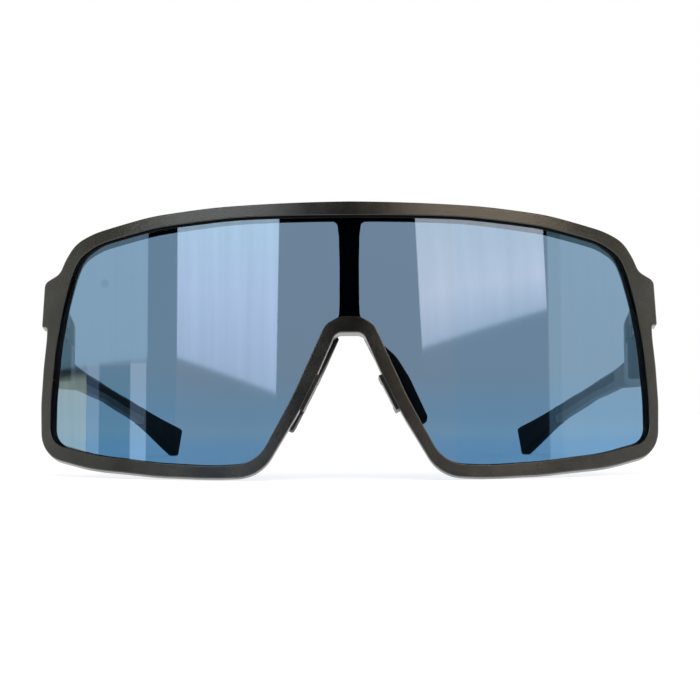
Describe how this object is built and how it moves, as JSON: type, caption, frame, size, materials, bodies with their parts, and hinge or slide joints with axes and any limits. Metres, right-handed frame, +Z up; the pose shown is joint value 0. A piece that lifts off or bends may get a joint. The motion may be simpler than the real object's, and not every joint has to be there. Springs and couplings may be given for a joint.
{
  "type": "glacier glasses",
  "caption": "Full-rim wraparound shield glasses with a one-piece mirrored lens, folding bowed temples with rubber ends, and swinging nose pads.",
  "frame": {"origin": "middle of the bounding box on the table plane, with the glasses standing on the rim and both temple tips, temples open", "axes": "+X towards the wearer's left, +Y from the lens back to the temple tips, +Z up"},
  "size_m": [0.15, 0.1524, 0.065],
  "materials": {
    "rim_plastic": "fine matt moulded grain, gunmetal grey-brown",
    "lens_coated": "smooth polycarbonate with a blue semi-mirror coating",
    "grip_rubber": "soft black moulded rubber",
    "nylon": "black moulded nylon",
    "steel": "stainless steel",
    "brass": "machined brass",
    "washer_plastic": "white low-friction plastic"
  },
  "bodies": {
    "front": {"front_frame": "rim_plastic", "lens": "lens_coated", "hinge_screw_left": "steel", "hinge_screw_right": "steel", "hinge_insert_left": "brass", "hinge_insert_right": "brass", "hinge_washers_left": "washer_plastic", "hinge_washers_right": "washer_plastic", "nose_clip_left": "nylon", "nose_clip_right": "nylon", "nose_pin_left": "steel", "nose_pin_right": "steel"},
    "temple_arm_left": {"temple_left": "rim_plastic", "ear_grip_left": "grip_rubber", "core_strip_left": "steel", "hinge_bush_left": "steel"},
    "temple_arm_right": {"temple_right": "rim_plastic", "ear_grip_right": "grip_rubber", "core_strip_right": "steel", "hinge_bush_right": "steel"},
    "pad_left": {"nose_pad_left": "grip_rubber", "nose_pad_core_left": "nylon"},
    "pad_right": {"nose_pad_right": "grip_rubber", "nose_pad_core_right": "nylon"}
  },
  "joints": [
    {"name": "temple_left_fold", "type": "hinge", "parent": "front", "child": "temple_arm_left", "pos_m": [0.0715, -0.02742, 0.03772], "axis": [0, 0.1616, 0.9869], "range_deg": [0, 88]},
    {"name": "temple_right_fold", "type": "hinge", "parent": "front", "child": "temple_arm_right", "pos_m": [-0.0715, -0.02742, 0.03772], "axis": [0, -0.1616, -0.9869], "range_deg": [0, 76]},
    {"name": "pad_left_swing", "type": "hinge", "parent": "front", "child": "pad_left", "pos_m": [0.01025, -0.0685, 0.02015], "axis": [-0.4478, 0.1445, 0.8824], "range_deg": [-2, 48]},
    {"name": "pad_right_swing", "type": "hinge", "parent": "front", "child": "pad_right", "pos_m": [-0.01025, -0.0685, 0.02015], "axis": [-0.4478, -0.1445, -0.8824], "range_deg": [-46, 4]}
  ]
}
